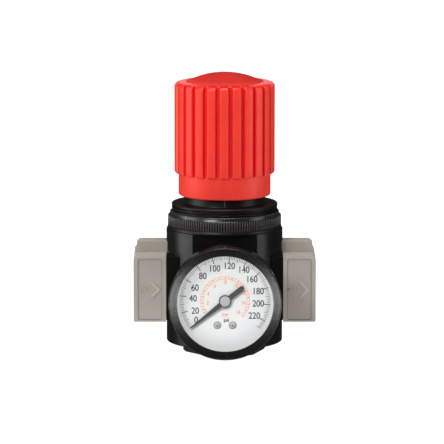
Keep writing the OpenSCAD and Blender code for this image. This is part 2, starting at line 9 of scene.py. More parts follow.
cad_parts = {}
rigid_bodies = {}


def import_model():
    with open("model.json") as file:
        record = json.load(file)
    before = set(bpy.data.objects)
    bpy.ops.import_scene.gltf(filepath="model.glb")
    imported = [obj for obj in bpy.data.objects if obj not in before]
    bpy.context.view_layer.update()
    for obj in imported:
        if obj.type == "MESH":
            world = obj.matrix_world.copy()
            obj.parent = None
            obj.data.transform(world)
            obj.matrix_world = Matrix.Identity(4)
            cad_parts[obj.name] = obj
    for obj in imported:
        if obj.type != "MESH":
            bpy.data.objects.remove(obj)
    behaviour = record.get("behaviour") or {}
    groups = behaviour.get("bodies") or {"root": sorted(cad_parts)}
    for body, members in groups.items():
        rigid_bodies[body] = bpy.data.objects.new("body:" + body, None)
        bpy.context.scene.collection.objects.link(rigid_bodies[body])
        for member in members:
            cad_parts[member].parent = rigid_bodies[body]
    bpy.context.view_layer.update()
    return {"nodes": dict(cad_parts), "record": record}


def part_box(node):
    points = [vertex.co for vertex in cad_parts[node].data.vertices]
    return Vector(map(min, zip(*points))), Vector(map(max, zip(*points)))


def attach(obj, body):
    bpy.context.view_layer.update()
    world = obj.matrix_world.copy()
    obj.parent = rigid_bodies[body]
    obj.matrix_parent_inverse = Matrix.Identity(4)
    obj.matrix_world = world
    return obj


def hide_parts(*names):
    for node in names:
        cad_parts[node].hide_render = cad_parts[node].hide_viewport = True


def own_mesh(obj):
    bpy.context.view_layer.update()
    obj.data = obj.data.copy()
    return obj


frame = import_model()

MM = 0.001
TAU = 2 * math.pi

# ---- Places, worked out from the frame ----

PORT_Z = next(m["pos_m"][2] for m in frame["record"]["mounts"] if m["name"] == "inlet_port")
ON_GAUGE = Matrix.Translation((0, 0, PORT_Z)) @ Matrix.Rotation(math.pi / 2, 4, "X")


def top_of(node):
    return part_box(node)[1].z


def foot_of(node):
    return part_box(node)[0].z


def radius_of(node):
    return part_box(node)[1].x


# ---- Camera ----

FOCAL_PX = 3900            # long lens, so the object shows little perspective
FRAME_PX = 444
CAMERA_DISTANCE = 1.8496
CAMERA_PITCH = 9.12        # degrees below the horizon
CAMERA_AZIMUTH = 0.35      # degrees to the left of the gauge's axis
CAMERA_ROLL = 0.05
AXIS_RIGHT_PX = 2.55       # the knob's axis stands this far right of the middle
PORT_BELOW_PX = 60         # the port axis lies this far below the middle


def make_camera():
    data = bpy.data.cameras.new("camera")
    data.sensor_width = 36
    data.lens = FOCAL_PX / FRAME_PX * data.sensor_width
    data.clip_end = 20
    camera = bpy.data.objects.new("camera", data)
    bpy.context.collection.objects.link(camera)
    dip = math.radians(CAMERA_PITCH) + math.atan(PORT_BELOW_PX / FOCAL_PX)
    turn = math.radians(CAMERA_AZIMUTH)
    away = Vector((-math.sin(turn) * math.cos(dip), -math.cos(turn) * math.cos(dip), math.sin(dip)))
    heading = -turn + math.atan(AXIS_RIGHT_PX / FOCAL_PX)
    camera.matrix_world = (
        Matrix.Translation(Vector((0, 0, PORT_Z)) + away * CAMERA_DISTANCE)
        @ Matrix.Rotation(heading, 4, "Z")
        @ Matrix.Rotation(math.radians(90 - CAMERA_PITCH), 4, "X")
        @ Matrix.Rotation(math.radians(CAMERA_ROLL), 4, "Z")
    )
    bpy.context.scene.camera = camera


# ---- Materials ----


class Nodes:
    """A small hand for building a material's node tree."""

    def __init__(self, name):
        self.material = bpy.data.materials.new(name)
        self.material.use_nodes = True
        self.tree = self.material.node_tree
        self.shader = self.tree.nodes["Principled BSDF"]
        self.where = self.add("ShaderNodeTexCoord").outputs["Object"]

    def add(self, kind, **values):
        node = self.tree.nodes.new(kind)
        for key, value in values.items():
            setattr(node, key, value)
        return node

    def link(self, a, b):
        self.tree.links.new(a, b)

    def noise(self, scale, detail=3.0, stretch=None):
        node = self.add("ShaderNodeTexNoise")
        node.inputs["Scale"].default_value = scale
        node.inputs["Detail"].default_value = detail
        if stretch:
            mapping = self.add("ShaderNodeMapping")
            mapping.inputs["Scale"].default_value = stretch
            self.link(self.where, mapping.inputs["Vector"])
            self.link(mapping.outputs["Vector"], node.inputs["Vector"])
        else:
            self.link(self.where, node.inputs["Vector"])
        return node.outputs["Fac"]

    def ramp(self, source, stops):
        node = self.add("ShaderNodeValToRGB")
        elements = node.color_ramp.elements
        while len(elements) < len(stops):
            elements.new(0.5)
        for element, (at, colour) in zip(elements, stops):
            element.position = at
            element.color = (*colour, 1)
        self.link(source, node.inputs["Fac"])
        return node.outputs["Color"]

    def spread(self, source, low, high):
        node = self.add("ShaderNodeMapRange")
        node.inputs["To Min"].default_value = low
        node.inputs["To Max"].default_value = high
        self.link(source, node.inputs["Value"])
        return node.outputs["Result"]

    def bump(self, heights):
        """heights: (source, distance in metres) pairs, laid on each other."""
        before = None
        for source, distance in heights:
            node = self.add("ShaderNodeBump")
            node.inputs["Strength"].default_value = 1.0
            node.inputs["Distance"].default_value = distance
            self.link(source, node.inputs["Height"])
            if before:
                self.link(before, node.inputs["Normal"])
            before = node.outputs["Normal"]
        self.link(before, self.shader.inputs["Normal"])

    def tinted(self, colour, other, low, high):
        """Mixes another colour in where the surface is bent: above 0.5 outwards, below it inwards."""
        pointy = self.add("ShaderNodeNewGeometry").outputs["Pointiness"]
        mask = self.add("ShaderNodeMapRange")
        mask.inputs["From Min"].default_value = low
        mask.inputs["From Max"].default_value = high
        self.link(pointy, mask.inputs["Value"])
        mix = self.add("ShaderNodeMix", data_type="RGBA")
        self.link(mask.outputs["Result"], mix.inputs["Factor"])
        self.link(colour, mix.inputs["A"])
        mix.inputs["B"].default_value = (*other, 1)
        return mix.outputs["Result"]

    def within(self, colour, other, radius, above):
        """Mixes another colour in nearer the Z axis than a radius, above a height."""
        split = self.add("ShaderNodeSeparateXYZ")
        self.link(self.where, split.inputs["Vector"])
        flat = self.add("ShaderNodeCombineXYZ")
        self.link(split.outputs["X"], flat.inputs["X"])
        self.link(split.outputs["Y"], flat.inputs["Y"])
        length = self.add("ShaderNodeVectorMath", operation="LENGTH")
        self.link(flat.outputs["Vector"], length.inputs[0])
        near = self.add("ShaderNodeMapRange")
        near.inputs["From Min"].default_value = radius
        near.inputs["From Max"].default_value = radius - 0.0009
        self.link(length.outputs["Value"], near.inputs["Value"])
        high = self.add("ShaderNodeMapRange")
        high.inputs["From Min"].default_value = above
        high.inputs["From Max"].default_value = above + 0.0004
        self.link(split.outputs["Z"], high.inputs["Value"])
        both = self.add("ShaderNodeMath", operation="MULTIPLY")
        self.link(near.outputs["Result"], both.inputs[0])
        self.link(high.outputs["Result"], both.inputs[1])
        mix = self.add("ShaderNodeMix", data_type="RGBA")
        self.link(both.outputs["Value"], mix.inputs["Factor"])
        self.link(colour, mix.inputs["A"])
        mix.inputs["B"].default_value = (*other, 1)
        return mix.outputs["Result"]

    def set(self, **values):
        for key, value in values.items():
            self.shader.inputs[key.replace("_", " ")].default_value = value


def plastic_red(name, light, dark, groove, edge, ribs_above=None, face_r=0.0):
    """Red plastic with painted shade in the grooves, a darker red nearer the axis than the ribs' faces and
    above their foot, and a painted highlight, a paler red, where the surface bends outwards.
    """
    n = Nodes(name)
    sunk = n.ramp(n.noise(90, 4), [(0.3, dark), (0.7, light)])
    if ribs_above:
        # painted shade: the grooves between the ribs take the darker groove colour
        sunk = n.within(sunk, groove, face_r, ribs_above)
    # painted highlight: a paler red where the surface bends outwards, along the rib and rim edges
    n.link(n.tinted(sunk, edge, 0.53, 0.58), n.shader.inputs["Base Color"])
    n.link(n.spread(n.noise(900, 2), 0.36, 0.46), n.shader.inputs["Roughness"])
    n.bump([(n.noise(5200, 3), 0.000012), (n.noise(260, 2), 0.00006)])
    n.set(Specular_IOR_Level=0.4, Subsurface_Weight=0.04, Subsurface_Scale=0.0015)
    n.shader.inputs["Subsurface Radius"].default_value = (1.0, 0.25, 0.15)
    return n.material


def glossy_black(name, tint=(0.0024, 0.0022, 0.0021), rough=(0.27, 0.36), grain=0.00001):
    n = Nodes(name)
    cloud = n.noise(60, 3)
    lighter = tuple(v * 1.7 for v in tint)
    n.link(n.ramp(cloud, [(0.3, tint), (0.75, lighter)]), n.shader.inputs["Base Color"])
    n.link(n.spread(n.noise(700, 3), *rough), n.shader.inputs["Roughness"])
    n.bump([(n.noise(4200, 3), grain), (n.noise(150, 2), 0.00012)])
    n.set(Specular_IOR_Level=0.5)
    return n.material


def moulded_black(name, rough=(0.34, 0.46), shine=0.3, tint=(0.0085, 0.0072, 0.0068), painted_crest_highlight=None):
    """Glass-filled nylon; an optional lighter crest colour, a painted highlight, picks out outward-bent
    crests such as those of fine toothing.
    """
    n = Nodes(name)
    fibre = n.noise(520, 4, stretch=(1, 1, 3))
    darker = tuple(v * 0.6 for v in tint)
    colour = n.ramp(fibre, [(0.25, darker), (0.8, tint)])
    if painted_crest_highlight:
        # painted highlight: outward-bent crests come out lighter
        colour = n.tinted(colour, painted_crest_highlight, 0.52, 0.60)
    n.link(colour, n.shader.inputs["Base Color"])
    n.link(n.spread(n.noise(1500, 3), *rough), n.shader.inputs["Roughness"])
    n.bump([(n.noise(4800, 3), 0.000014), (n.noise(300, 2), 0.00006)])
    n.set(Specular_IOR_Level=shine)
    return n.material


def die_cast(name, lift=1.0):
    """Fine-blasted zinc, cloudy in tone."""
    n = Nodes(name)
    cloud = n.noise(70, 5)
    low, high = [tuple(v * lift for v in tone) for tone in ((0.395, 0.356, 0.314), (0.456, 0.413, 0.368))]
    n.link(n.ramp(cloud, [(0.25, low), (0.75, high)]), n.shader.inputs["Base Color"])
    n.link(n.spread(n.noise(1300, 4), 0.46, 0.62), n.shader.inputs["Roughness"])
    n.bump([(n.noise(3000, 5), 0.00002), (n.noise(260, 3), 0.00005)])
    n.set(Metallic=0.1, Specular_IOR_Level=0.5)
    return n.material


def turned_metal(name, light, dark, rough=(0.22, 0.38), axis_stretch=(1, 1, 14)):
    n = Nodes(name)
    grain = n.noise(420, 4, stretch=axis_stretch)
    n.link(n.ramp(grain, [(0.3, dark), (0.7, light)]), n.shader.inputs["Base Color"])
    n.link(n.spread(n.noise(600, 3, stretch=axis_stretch), *rough), n.shader.inputs["Roughness"])
    n.bump([(n.noise(900, 3, stretch=axis_stretch), 0.00001)])
    n.set(Metallic=1.0)
    return n.material


def soft_rubber(name):
    n = Nodes(name)
    n.link(n.ramp(n.noise(200, 4), [(0.3, (0.012, 0.012, 0.012)), (0.7, (0.022, 0.022, 0.021))]),
           n.shader.inputs["Base Color"])
    n.link(n.spread(n.noise(1200, 3), 0.6, 0.8), n.shader.inputs["Roughness"])
    n.bump([(n.noise(2600, 3), 0.00002)])
    return n.material


def dial_paint(name):
    """White enamel with painted light and shade: lighter towards the foot of the dial, a faint darker
    blue-grey towards its top.
    """
    n = Nodes(name)
    split = n.add("ShaderNodeSeparateXYZ")
    n.link(n.where, split.inputs["Vector"])
    drop = n.add("ShaderNodeMapRange")
    drop.inputs["From Min"].default_value = PORT_Z - 0.022
    drop.inputs["From Max"].default_value = PORT_Z + 0.022
    n.link(split.outputs["Z"], drop.inputs["Value"])
    # painted light and shade: lighter at the dial's foot, darker at its top
    n.link(n.ramp(drop.outputs["Result"], [(0.0, (0.88, 0.90, 0.905)), (0.6, (0.77, 0.79, 0.79))]),
           n.shader.inputs["Base Color"])
    n.link(n.spread(n.noise(800, 2), 0.38, 0.5), n.shader.inputs["Roughness"])
    n.bump([(n.noise(5000, 2), 0.000004)])
    return n.material


def ink(name, colour, rough=0.55):
    n = Nodes(name)
    pale = tuple(min(1, v * 1.25 + 0.01) for v in colour)
    n.link(n.ramp(n.noise(3000, 3), [(0.3, colour), (0.75, pale)]), n.shader.inputs["Base Color"])
    n.link(n.spread(n.noise(2500, 2), rough - 0.06, rough + 0.06), n.shader.inputs["Roughness"])
    return n.material


def clear_window(name):
    """Thin clear plastic: it lets light through and mirrors a little of the room."""
    n = Nodes(name)
    clear = n.add("ShaderNodeBsdfTransparent")
    gloss = n.add("ShaderNodeBsdfGlossy")
    gloss.inputs["Roughness"].default_value = 0.06
    bent = n.add("ShaderNodeFresnel")
    bent.inputs["IOR"].default_value = 1.36
    mix = n.add("ShaderNodeMixShader")
    n.link(bent.outputs["Fac"], mix.inputs["Fac"])
    n.link(clear.outputs["BSDF"], mix.inputs[1])
    n.link(gloss.outputs["BSDF"], mix.inputs[2])
    n.link(mix.outputs["Shader"], n.tree.nodes["Material Output"].inputs["Surface"])
    return n.material


MATERIALS = {
    # the red plastics' groove colours are painted shade, their edge colours painted highlights
    "red_knob": plastic_red("knob_red", (0.84, 0.033, 0.014), (0.76, 0.026, 0.012), (0.80, 0.003, 0.007),
                            (0.92, 0.100, 0.060), ribs_above=0.0853, face_r=0.0232),
    "dark_red_cap": plastic_red("cap_red", (0.62, 0.022, 0.014), (0.52, 0.016, 0.011), (0.40, 0.010, 0.008),
                                (0.70, 0.060, 0.040)),
    "black_body": glossy_black("painted_black"),
    "black_plastic": moulded_black("moulded_black"),
    "zinc_plate": die_cast("blasted_zinc"),
    "steel": turned_metal("plated_steel", (0.62, 0.61, 0.59), (0.48, 0.47, 0.46)),
    "brass": turned_metal("turned_brass", (0.66, 0.44, 0.17), (0.52, 0.33, 0.12)),
    "rubber": soft_rubber("black_rubber"),
    "dial_white": dial_paint("dial_enamel"),
    "pointer_dark": ink("pointer_grey", (0.055, 0.057, 0.060), 0.5),
    "lens_clear": clear_window("clear_window"),
}
# painted highlight: the nut's crest colour lightens the knurl's crests and the seam's edges
GLOSS_NUT = moulded_black("nut_black", (0.2, 0.3), 0.5, (0.018, 0.017, 0.015), (0.085, 0.080, 0.072))
# painted highlight: the crest colour draws a bright line along the bezel's rounded rims
BEZEL_BLACK = moulded_black("bezel_black", (0.22, 0.30), 0.5, painted_crest_highlight=(0.10, 0.10, 0.10))
# painted highlight: a lighter copy of the blasted zinc for the raised letters and arrows, for the light their
# relief catches
LABEL_ZINC_PAINTED_LIGHT = die_cast("label_zinc_painted_light", lift=1.15)
# painted shadow: a darker copy of the zinc for the shadow lines round the nameplate fields
SHADOW_LINE_ZINC = die_cast("shadow_line_zinc", lift=0.55)
CASE_BLACK = glossy_black("case_black", rough=(0.08, 0.13))
SATIN_NICKEL = ink("satin_nickel", (0.42, 0.41, 0.40), 0.4)
DARK_INK = ink("dark_ink", (0.035, 0.035, 0.037))
ORANGE_INK = ink("orange_ink", (0.82, 0.34, 0.15))


# ---- Mesh helpers ----


SHARP = 35                 # degrees; edges bent more than this are hard


def finished(mesh, name, material, body, slot, *replaced, sharp=SHARP):
    """Makes an object of a mesh, with its finish, its body and the nodes it stands for."""
    mesh.name = name
    piece = bpy.data.objects.new(name, mesh)
    bpy.context.collection.objects.link(piece)
    mesh.materials.clear()
    mesh.materials.append(material)
    if sharp:
        mesh.polygons.foreach_set("use_smooth", [True] * len(mesh.polygons))
        mesh.set_sharp_from_angle(angle=math.radians(sharp))
    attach(piece, body)
    if replaced:
        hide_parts(*replaced)
    return piece


def grid_mesh(rows, place=None, closed_rows=True):
    """A closed skin over rows of points: each row is a closed ring, and the last row meets the first."""
    count = len(rows[0])
    points = [p for row in rows for p in row]
    if place:
        points = [place @ Vector(p) for p in points]
    faces = []
    for i in range(len(rows) if closed_rows else len(rows) - 1):
        a, b = i * count, (i + 1) % len(rows) * count
        for k in range(count):
            n = (k + 1) % count
            faces.append((a + k, a + n, b + n, b + k))
    if not closed_rows:
        faces.append(tuple(reversed(range(count))))
        faces.append(tuple(range((len(rows) - 1) * count, len(rows) * count)))
    mesh = bpy.data.meshes.new("grid")
    mesh.from_pydata(points, [], faces)
    made = bmesh.new()
    made.from_mesh(mesh)
    bmesh.ops.recalc_face_normals(made, faces=made.faces)
    made.to_mesh(mesh)
    made.free()
    return mesh


def about_axis(r, angle, z):
    """A point in metres, from a radius and a height in millimetres."""
    return (r * MM * math.cos(angle), r * MM * math.sin(angle), z * MM)


def circle_row(r, z, segments):
    return [about_axis(r, TAU * k / segments, z) for k in range(segments)]


def turned(profile, segments=160, place=None, closed=True):
    """Solid of revolution about Z from (radius, z) points in millimetres."""
    return grid_mesh([circle_row(r, z, segments) for r, z in profile], place, closed)


def arc(cx, cz, r, start, end, steps=6):
    return [(cx + r * math.cos(math.radians(start + (end - start) * i / steps)),
             cz + r * math.sin(math.radians(start + (end - start) * i / steps))) for i in range(steps + 1)]


def prism(outline, low, high, place=None):
    """Straight prism of a simple outline in millimetres, between two heights."""
    rows = [[(x * MM, y * MM, z * MM) for x, y in outline] for z in (low, high)]
    return grid_mesh(rows, place, closed_rows=False)


def joined(meshes):
    """One mesh of several that don't touch."""
    made = bmesh.new()
    for mesh in meshes:
        made.from_mesh(mesh)
        bpy.data.meshes.remove(mesh)
    result = bpy.data.meshes.new("joined")
    made.to_mesh(result)
    made.free()
    return result


def bevelled(mesh, width, steps=2, limit=30):
    """The mesh with its hard edges rounded; its flat faces keep flat shading. The mesh given is used up."""
    scratch = bpy.data.objects.new("bevel_scratch", mesh)
    bpy.context.collection.objects.link(scratch)
    bevel = scratch.modifiers.new("round", "BEVEL")
    bevel.width = width * MM
    bevel.segments = steps
    bevel.limit_method = "ANGLE"
    bevel.angle_limit = math.radians(limit)
    bevel.use_clamp_overlap = True
    bevel.harden_normals = True
    bevel.miter_outer = "MITER_ARC"
    weighed = scratch.modifiers.new("flat_faces_lead", "WEIGHTED_NORMAL")
    weighed.mode = "FACE_AREA"
    weighed.weight = 100
    weighed.keep_sharp = True
    graph = bpy.context.evaluated_depsgraph_get()
    result = bpy.data.meshes.new_from_object(scratch.evaluated_get(graph), preserve_all_data_layers=True,
                                             depsgraph=graph)
    bpy.data.objects.remove(scratch)
    return result


def softened(node, width, steps=2):
    """Stands a copy of a CAD node, with its hard edges rounded, in for the node."""
    mesh = frame["nodes"][node].data.copy()
    made = bmesh.new()
    made.from_mesh(mesh)
    bmesh.ops.remove_doubles(made, verts=made.verts, dist=2e-6)
    bmesh.ops.dissolve_limit(made, angle_limit=math.radians(0.6), verts=made.verts, edges=made.edges)
    for edge in made.edges:
        edge.smooth = edge.calc_face_angle(math.pi) < math.radians(SHARP)
    for face in made.faces:
        face.smooth = True
    made.to_mesh(mesh)
    made.free()
    if "custom_normal" in mesh.attributes:
        mesh.attributes.remove(mesh.attributes["custom_normal"])
    slot = next(s["material_slot"] for s in frame["record"]["subparts"] if s["node"] == node)
    return finished(bevelled(mesh, width, steps), node + "_part", MATERIALS[slot], body_of_node(node), slot,
                    node, sharp=None)


def body_of_node(node):
    return next(b for b, nodes in frame["record"]["behaviour"]["bodies"].items() if node in nodes)


# ---- Knob ----


def rib_profile(ribs, core, outer, groove):
    """(angle, rise) around one knob: rise is 0 on the groove's floor and 1 on the rib's face."""
    pitch = TAU / ribs
    half_rib = pitch / 2 - groove / 2 / outer
    half = [(0.0, 1.0), (0.62, 1.0), (0.80, 0.985), (0.90, 0.93), (0.955, 0.82), (0.99, 0.64), (1.02, 0.30),
            (1.07, 0.10), (1.15, 0.02), (1.26, 0.0)]
    around = []
    for i in range(ribs):
        middle = i * pitch - math.pi / 2 - math.radians(1)
        around += [(middle - share * half_rib, rise) for share, rise in reversed(half[1:])]
        around += [(middle + share * half_rib, rise) for share, rise in half]
    return around


def make_knob():
    foot, top = foot_of("knob") / MM, top_of("knob") / MM
    outer, core = radius_of("knob") / MM, 21.7
    rib_foot, seat, web_low, web_high = 85.2, 125.0, 113.3, 117.0
    skirt, bore, cap_r, round_r, rim_drop = 19.35, 6.2, 18.02, 1.9, 0.4
    around = rib_profile(24, core, outer, 1.9)
    edge = outer - core
    rows = []

    def row(core_r, rise, z):
        rows.append([about_axis(core_r + rise * w, a, z) for a, w in around])

    for r, z in arc(core - 0.8, foot + 0.8, 0.8, -90, 0, 5):
        row(r, 0, z)
    row(core, 0, rib_foot - 3)
    row(core, 0, rib_foot - 0.05)
    for share, rise in ((0.0, 0.0), (0.05, 0.45), (0.25, 0.72), (0.6, 0.9), (1.0, 0.98), (1.5, 1.0)):
        row(core, edge * rise, rib_foot + share * 0.8)
    shoulder = top - rim_drop
    for i in range(1, 12):
        row(core, edge, rib_foot + 1.5 + (shoulder - round_r - rib_foot - 1.5) * i / 11)
    for r, z in arc(outer - round_r, shoulder - round_r, round_r, 10, 90, 8):
        lip = min(core, r - 0.02)
        row(lip, r - lip, z)
    row(cap_r + 0.9, 0, top)
    row(cap_r + 0.25, 0, top - 0.08)
    row(cap_r, 0, top - 0.35)
    for r, z in ((cap_r, seat), (17, seat), (17, web_high), (bore, web_high), (bore, web_low),
                 (skirt - 0.6, web_low), (skirt, web_low - 0.6), (skirt, foot + 0.5), (skirt + 0.5, foot)):
        row(r, 0, z)
    finished(grid_mesh(rows), "knob_shell", MATERIALS["red_knob"], "knob", "red_knob", "knob", sharp=50)


def make_knob_cap():
    rim, apex = top_of("knob") / MM, top_of("knob_cap") / MM
    foot, r = foot_of("knob_cap") / MM, radius_of("knob_cap") / MM
    slope = math.radians(21)
    flat = math.sin(slope) * math.tan(slope) + math.cos(slope) - 1
    ball = (r * math.tan(slope) - (apex - rim)) / flat
    dome = [(r, rim)] + arc(0, apex - ball, ball, 90 - math.degrees(slope), 89.7, 18)
    profile = [(14, foot + 3), (14, foot), (r, foot), (r, rim - 0.3), (r, rim - 0.05)] + dome[1:]
    profile.append((0.08, foot + 3))
    finished(turned(profile, 128), "knob_dome", MATERIALS["dark_red_cap"], "knob", "dark_red_cap",
             "knob_cap")


# ---- Bonnet and panel nut ----


def make_bonnet():
    """Neck, shoulder and a true helical thread of 1.5 mm pitch under the knob."""
    top, foot = top_of("bonnet") / MM, foot_of("bonnet") / MM
    shoulder, body_top, flange_top, thread_foot = 71.0, 59.2, 60.6, 67.35
    thread_r, pitch_r, neck_r, flange_r, spigot_r, room_r = 25.0, 24.5, 18.95, 26.85, 21.8, 16.0
    groove_low, groove_high, neck_top, room_top = 83.4, 84.9, 108.8, 104.8
    teeth_out, teeth_in, journal_r = 17, 12.5, 5.5
    pitch, depth, chamfer, segments = 1.5, 0.75, 0.5, 192
    crest_end = shoulder - chamfer - 0.5
    rows = []

    def plain(r, z):
        rows.append(circle_row(r, z, segments))

    def thread_height(z, angle):
        phase = (z / pitch - angle / TAU) % 1.0
        flank = abs(phase - 0.5) * 2
        cut = min(1.0, max(0.0, (flank - 0.30) / 0.5))
        fade = min(1.0, max(0.0, (crest_end - z) / 0.25))
        return thread_r - depth * cut * fade

    for r, z in ((room_r, foot), (spigot_r, foot), (spigot_r, body_top), (flange_r, body_top),
                 (flange_r, flange_top - 0.2), (flange_r - 0.2, flange_top), (pitch_r, flange_top),
                 (pitch_r, thread_foot)):
        plain(r, z)
    steps = 36
    for i in range(steps + 1):
        z = thread_foot + (shoulder - chamfer - thread_foot) * i / steps
        turns = [TAU * k / segments for k in range(segments)]
        rows.append([about_axis(thread_height(z, turn), turn, z) for turn in turns])
    for r, z in arc(thread_r - chamfer, shoulder - chamfer, chamfer, 20, 90, 4):
        plain(r, z)
    for r, z in arc(neck_r + 0.5, shoulder + 0.5, 0.5, 270, 180, 4):
        plain(r, z)
    for r, z in ((neck_r, shoulder + 3), (neck_r, groove_low), (neck_r - 0.75, groove_low),
                 (neck_r - 0.75, groove_high), (neck_r, groove_high), (neck_r, neck_top - 0.6),
                 (neck_r - 0.6, neck_top), (teeth_out, neck_top), (teeth_out, top), (teeth_in, top),
                 (teeth_in, neck_top), (journal_r, neck_top), (journal_r, room_top), (room_r, room_top)):
        plain(r, z)
    finished(grid_mesh(rows), "bonnet_neck", MATERIALS["black_plastic"], "root", "black_plastic", "bonnet",
             sharp=45)

    seam_w, seam_out = 0.5, 0.12
    seam = [(-seam_w / 2, -neck_r + 0.2), (seam_w / 2, -neck_r + 0.2), (seam_w / 2, -neck_r - seam_out),
            (-seam_w / 2, -neck_r - seam_out)]
    finished(prism(seam, shoulder + 0.3, 83), "neck_seam", GLOSS_NUT, "root", "black_plastic")


def make_panel_nut():
    """Glossy shoulder over a ring with straight knurling."""
    foot, top = foot_of("panel_nut") / MM, top_of("panel_nut") / MM
    outer, shoulder_r, bore = radius_of("panel_nut") / MM, 25.8, 24.55
    teeth, depth = 135, 0.42
    ring_top = 65.3
    per_tooth = ((0.0, 0.0), (0.16, 0.05), (0.28, 0.55), (0.38, 1.0), (0.62, 1.0), (0.72, 0.55),
                 (0.84, 0.05))
    around = [((i + share) * TAU / teeth, cut) for i in range(teeth) for share, cut in per_tooth]
    rows = []

    def row(r, z, cut=0.0):
        rows.append([about_axis(r - depth * cut * w, a, z) for a, w in around])

    row(bore, foot + 0.3)
    row(bore + 0.3, foot)
    row(outer - 0.6, foot, 0.0)
    row(outer - 0.2, foot + 0.06, 0.5)
    row(outer, foot + 0.3, 1.0)
    row(outer, ring_top - 0.3, 1.0)
    row(outer - 0.1, ring_top - 0.08, 0.6)
    row(outer - 0.45, ring_top, 0.0)
    row(shoulder_r + 0.12, ring_top, 0.0)
    row(shoulder_r, ring_top + 0.12, 0.0)
    row(shoulder_r, top - 0.4, 0.0)
    row(shoulder_r - 0.12, top - 0.12, 0.0)
    row(shoulder_r - 0.4, top, 0.0)
    row(bore + 0.3, top)
    row(bore, top - 0.3)
    finished(grid_mesh(rows), "knurled_nut", GLOSS_NUT, "panel_nut", "black_plastic", "panel_nut", sharp=50)


# ---- Port plates ----


def raised_letters(words, size, place, depth):
    """Generic raised lettering from the program's own plain font."""
    curve = bpy.data.curves.new("letters", "FONT")
    curve.body = words
    curve.size = size * MM
    curve.extrude = depth * MM / 2
    curve.align_x = "CENTER"
    curve.align_y = "CENTER"
    scratch = bpy.data.objects.new("letters_scratch", curve)
    bpy.context.collection.objects.link(scratch)
    graph = bpy.context.evaluated_depsgraph_get()
    mesh = bpy.data.meshes.new_from_object(scratch.evaluated_get(graph))
    bpy.data.objects.remove(scratch)
    mesh.transform(place)
    return mesh


FIELD_FLOOR = 17.6         # the nameplate field's floor, forwards of the centre line
RAISED = 0.38              # height of the lettering on it
LABEL_DROP = 0.6           # the lettering sits this far below the port axis


def make_flow_label(node, word, word_x, arrow_x):
    """The word for the port and a flow arrow, raised on the front nameplate field."""
    half, reach, stroke = 3.7, 5.2, 1.6
    letters = raised_letters(word, 4.4, ON_GAUGE @ Matrix.Translation(
        (word_x * MM, -LABEL_DROP * MM, (FIELD_FLOOR + RAISED / 2) * MM)) @ Matrix.Diagonal((0.8, 1, 1, 1)),
        RAISED)
    outline = [(0, half), (stroke, half), (reach, 0), (stroke, -half), (0, -half), (reach - stroke, 0)]
    arrow = prism([(arrow_x + x, y - LABEL_DROP) for x, y in outline], FIELD_FLOOR, FIELD_FLOOR + RAISED,
                  ON_GAUGE)
    label = bevelled(joined([letters, arrow]), 0.16, 1, 50)
    # the lettering wears the lighter zinc, a painted highlight
    finished(label, node + "_label", LABEL_ZINC_PAINTED_LIGHT, "root", "zinc_plate", sharp=None)


def make_field_line(name, side, face):
    """A thin shadow line round a nameplate field; side is -1 at the inlet, face is -1 at the back."""
    inner_x, wide, high, corner, line = 29.4, 11.4, 29.0, 1.0, 0.28
    port_z = PORT_Z / MM

    def outline(inset, depth):
        r = corner - inset
        low, top = port_z - 15 + inset, port_z - 15 + high - inset
        left, right = inner_x + inset, inner_x + wide - inset
        turns = arc(right - r, low + r, r, -90, 0) + arc(right - r, top - r, r, 0, 90)
        turns += arc(left + r, top - r, r, 90, 180) + arc(left + r, low + r, r, 180, 270)
        return [(side * x * MM, -face * depth * MM, z * MM) for x, z in turns]

    floor, crest = FIELD_FLOOR, FIELD_FLOOR + 0.06
    rows = [outline(0.01, floor), outline(line, floor), outline(line, crest), outline(0.01, crest)]
    finished(grid_mesh(rows), name, SHADOW_LINE_ZINC, "root", "zinc_plate")


def make_port_plates():
    for face, where in ((1, "front"), (-1, "rear")):
        make_field_line("inlet_field_" + where, -1, face)
        make_field_line("outlet_field_" + where, 1, face)
    for node in ("inlet_plate", "outlet_plate"):
        plate = softened(node, 0.2, steps=3)
        plate.visible_glossy = False       # else the body's gloss beside it turns to a grey haze
    make_flow_label("inlet_plate", "IN", -38.2, -35.3)
    make_flow_label("outlet_plate", "OUT", 32.0, 34.8)


# ---- Gauge ----

ZERO_ANGLE = 218.2         # degrees anticlockwise from +X, at zero pressure
PSI_STEP = 1.116           # degrees for each psi
PSI_END = 231
PSI_PER_BAR = 14.5038
DIAL_FACE = 50.0           # the dial's face, forwards of the centre line
PRINT = 0.03               # thickness of the print
SCREW_X, SCREW_Y = 3.55, -11.5


def dial_direction(psi):
    return math.radians(ZERO_ANGLE - psi * PSI_STEP)


def dial_bar(angle, inner, outer, width, high=DIAL_FACE + PRINT):
    """A printed radial stroke."""
    across = Vector((-math.sin(angle), math.cos(angle))) * width / 2
    along = Vector((math.cos(angle), math.sin(angle)))
    corners = [along * inner - across, along * outer - across,
               along * outer + across, along * inner + across]
    return prism([tuple(c) for c in corners], DIAL_FACE, high, ON_GAUGE)


def dial_arc(radius, width, start_psi, end_psi):
    steps = 90
    angles = [dial_direction(start_psi + (end_psi - start_psi) * i / steps) for i in range(steps + 1)]
    high, low = radius + width / 2, radius - width / 2
    outer = [(high * math.cos(a), high * math.sin(a)) for a in angles]
    inner = [(low * math.cos(a), low * math.sin(a)) for a in reversed(angles)]
    return prism(inner + outer, DIAL_FACE, DIAL_FACE + PRINT, ON_GAUGE)


def dial_circle(x, y, r, count):
    return [(x + r * math.cos(TAU * k / count), y + r * math.sin(TAU * k / count)) for k in range(count)]


